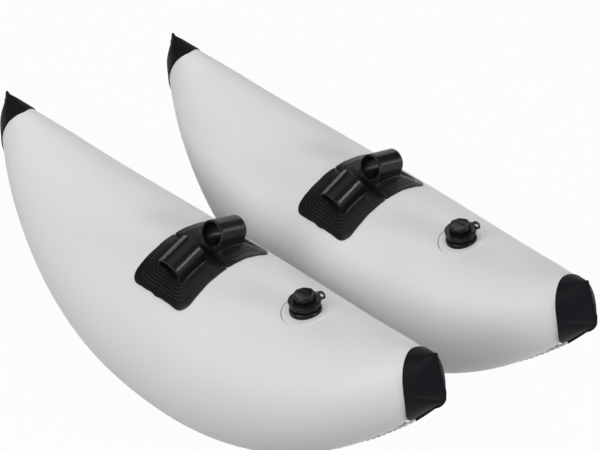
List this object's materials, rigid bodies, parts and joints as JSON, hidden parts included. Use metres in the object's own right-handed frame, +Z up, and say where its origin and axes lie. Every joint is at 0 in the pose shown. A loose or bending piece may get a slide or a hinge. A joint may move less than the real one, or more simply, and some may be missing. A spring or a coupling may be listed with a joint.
{
  "type": "kayak outrigger",
  "caption": "Pair of inflatable banana-shaped outrigger floats with tube sleeves for the arms, end patches and screw valves on the crown.",
  "frame": {"origin": "middle of the underside of the pair's bounding box, on the ground", "axes": "+X along the floats towards the valve ends, +Y from the near float to the far float, +Z up"},
  "size_m": [0.6996, 0.416, 0.2604],
  "materials": {
    "grey_coated_fabric": "satin coated fabric",
    "grey_weld": "satin, crimped",
    "black_coated_fabric": "satin coated fabric",
    "black_moulding": "satin moulded",
    "black_plastic": "semi-gloss",
    "black_rubber": "matt"
  },
  "bodies": {
    "floats": {"near_bladder": "grey_coated_fabric", "near_keel_seam": "grey_weld", "near_front_end_patch": "black_coated_fabric", "near_rear_end_patch": "black_coated_fabric", "near_left_mount": "black_moulding", "near_right_mount": "black_moulding", "near_valve_base": "black_plastic", "far_bladder": "grey_coated_fabric", "far_keel_seam": "grey_weld", "far_front_end_patch": "black_coated_fabric", "far_rear_end_patch": "black_coated_fabric", "far_left_mount": "black_moulding", "far_right_mount": "black_moulding", "far_valve_base": "black_plastic"},
    "near_gasket": {"near_valve_gasket": "black_rubber"},
    "near_insert": {"near_valve_insert": "black_plastic", "near_cap_tether": "black_plastic"},
    "near_flap": {"near_valve_flap": "black_rubber"},
    "near_seal": {"near_cap_seal": "black_rubber"},
    "near_cap": {"near_valve_cap": "black_plastic"},
    "far_gasket": {"far_valve_gasket": "black_rubber"},
    "far_insert": {"far_valve_insert": "black_plastic", "far_cap_tether": "black_plastic"},
    "far_flap": {"far_valve_flap": "black_rubber"},
    "far_seal": {"far_cap_seal": "black_rubber"},
    "far_cap": {"far_valve_cap": "black_plastic"}
  },
  "joints": [
    {"name": "near_insert_lift", "type": "slide", "parent": "floats", "child": "near_gasket", "axis": [-0.1132, 0, 0.9936], "range_m": [0, 0.009]},
    {"name": "near_insert_turn", "type": "hinge", "parent": "near_gasket", "child": "near_insert", "pos_m": [0.13266, -0.10619, 0.21568], "axis": [-0.1132, 0, 0.9936], "range_deg": [0, 1081]},
    {"name": "near_flap_open", "type": "slide", "parent": "near_insert", "child": "near_flap", "axis": [0.1132, 0, -0.9936], "range_m": [0, 0.0025], "stiffness_N_per_m": 60, "springref_m": -0.001},
    {"name": "near_cap_lift", "type": "slide", "parent": "near_insert", "child": "near_seal", "axis": [-0.1132, 0, 0.9936], "range_m": [0, 0.006]},
    {"name": "near_cap_turn", "type": "hinge", "parent": "near_seal", "child": "near_cap", "pos_m": [0.13266, -0.10619, 0.21568], "axis": [-0.1132, 0, 0.9936], "range_deg": [0, 721]},
    {"name": "far_insert_lift", "type": "slide", "parent": "floats", "child": "far_gasket", "axis": [-0.1182, -0.0816, 0.9896], "range_m": [0, 0.009]},
    {"name": "far_insert_turn", "type": "hinge", "parent": "far_gasket", "child": "far_insert", "pos_m": [0.16961, 0.08698, 0.21497], "axis": [-0.1182, -0.0816, 0.9896], "range_deg": [0, 1081]},
    {"name": "far_flap_open", "type": "slide", "parent": "far_insert", "child": "far_flap", "axis": [0.1182, 0.0816, -0.9896], "range_m": [0, 0.0025], "stiffness_N_per_m": 60, "springref_m": -0.001},
    {"name": "far_cap_lift", "type": "slide", "parent": "far_insert", "child": "far_seal", "axis": [-0.1182, -0.0816, 0.9896], "range_m": [0, 0.006]},
    {"name": "far_cap_turn", "type": "hinge", "parent": "far_seal", "child": "far_cap", "pos_m": [0.16961, 0.08698, 0.21497], "axis": [-0.1182, -0.0816, 0.9896], "range_deg": [0, 721]}
  ],
  "couplings": [
    {"joint": "near_insert_turn", "follows": "near_insert_lift", "rad_per_m": 2094.4},
    {"joint": "near_cap_turn", "follows": "near_cap_lift", "rad_per_m": 2094.4},
    {"joint": "far_insert_turn", "follows": "far_insert_lift", "rad_per_m": 2094.4},
    {"joint": "far_cap_turn", "follows": "far_cap_lift", "rad_per_m": 2094.4}
  ]
}
